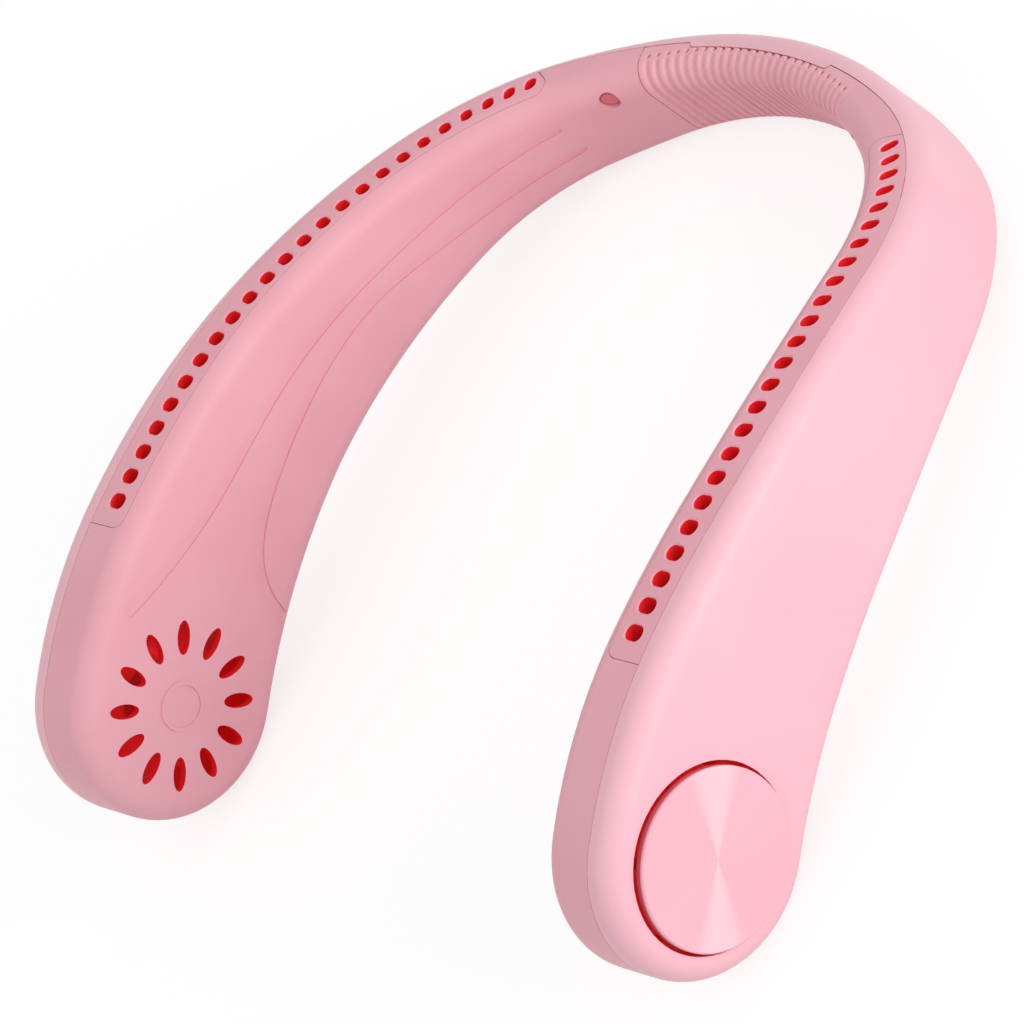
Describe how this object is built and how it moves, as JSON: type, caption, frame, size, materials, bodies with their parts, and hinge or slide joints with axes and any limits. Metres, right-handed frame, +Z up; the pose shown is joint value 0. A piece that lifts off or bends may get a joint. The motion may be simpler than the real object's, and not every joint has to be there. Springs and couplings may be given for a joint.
{
  "type": "neck fan",
  "caption": "U-shaped electric neck fan with a round blower lobe on each front end, perforated air outlets along the arms and a ribbed soft pad at the nape.",
  "frame": {"origin": "under the middle of the body, on the surface it rests on", "axes": "+X across the body to the wearer's right lobe, +Y from the lobes to the nape, +Z up"},
  "size_m": [0.2142, 0.2094, 0.0603],
  "materials": {
    "outer_plastic": "soft-touch satin",
    "inner_plastic": "fine matte",
    "strip_plastic": "fine matte",
    "disc_plastic": "spun-look satin",
    "silicone": "soft matte",
    "red_plastic": "matte",
    "button_plastic": "matte",
    "black_plastic": "matte",
    "board": "solder mask",
    "steel": "plain",
    "ferrite": "sintered",
    "stator_iron": "enamelled",
    "bronze": "sintered",
    "battery_foil": "foil pouch",
    "wire_jacket": "matte"
  },
  "bodies": {
    "casing": {"air_duct_left": "red_plastic", "air_duct_right": "red_plastic", "battery_left": "battery_foil", "battery_right": "battery_foil", "bearing_bush_left": "bronze", "bearing_bush_right": "bronze", "charge_board": "board", "control_board": "board", "inlet_disc_left": "disc_plastic", "inlet_disc_right": "disc_plastic", "inner_shell_left": "inner_plastic", "inner_shell_right": "inner_plastic", "neck_pad": "silicone", "outer_shell": "outer_plastic", "outlet_strip_left": "strip_plastic", "outlet_strip_right": "strip_plastic", "pad_carrier": "inner_plastic", "shell_screws": "steel", "stator_left": "stator_iron", "stator_right": "stator_iron", "tact_switch": "black_plastic", "usb_port": "steel", "wire_harness": "wire_jacket"},
    "rotor_left": {"impeller_left": "red_plastic", "magnet_ring_left": "ferrite", "fan_shaft_left": "steel"},
    "rotor_right": {"impeller_right": "red_plastic", "magnet_ring_right": "ferrite", "fan_shaft_right": "steel"},
    "button": {"power_button": "button_plastic"}
  },
  "joints": [
    {"name": "impeller_left_spin", "type": "hinge", "parent": "casing", "child": "rotor_left", "pos_m": [-0.0965, -0.078, 0.0267], "axis": [1, 0, 0], "continuous": true},
    {"name": "impeller_right_spin", "type": "hinge", "parent": "casing", "child": "rotor_right", "pos_m": [0.0965, -0.078, 0.0267], "axis": [1, 0, 0], "continuous": true},
    {"name": "power_button_press", "type": "slide", "parent": "casing", "child": "button", "axis": [0, 0, 1], "range_m": [0, 0.0005], "stiffness_N_per_m": 1500}
  ]
}
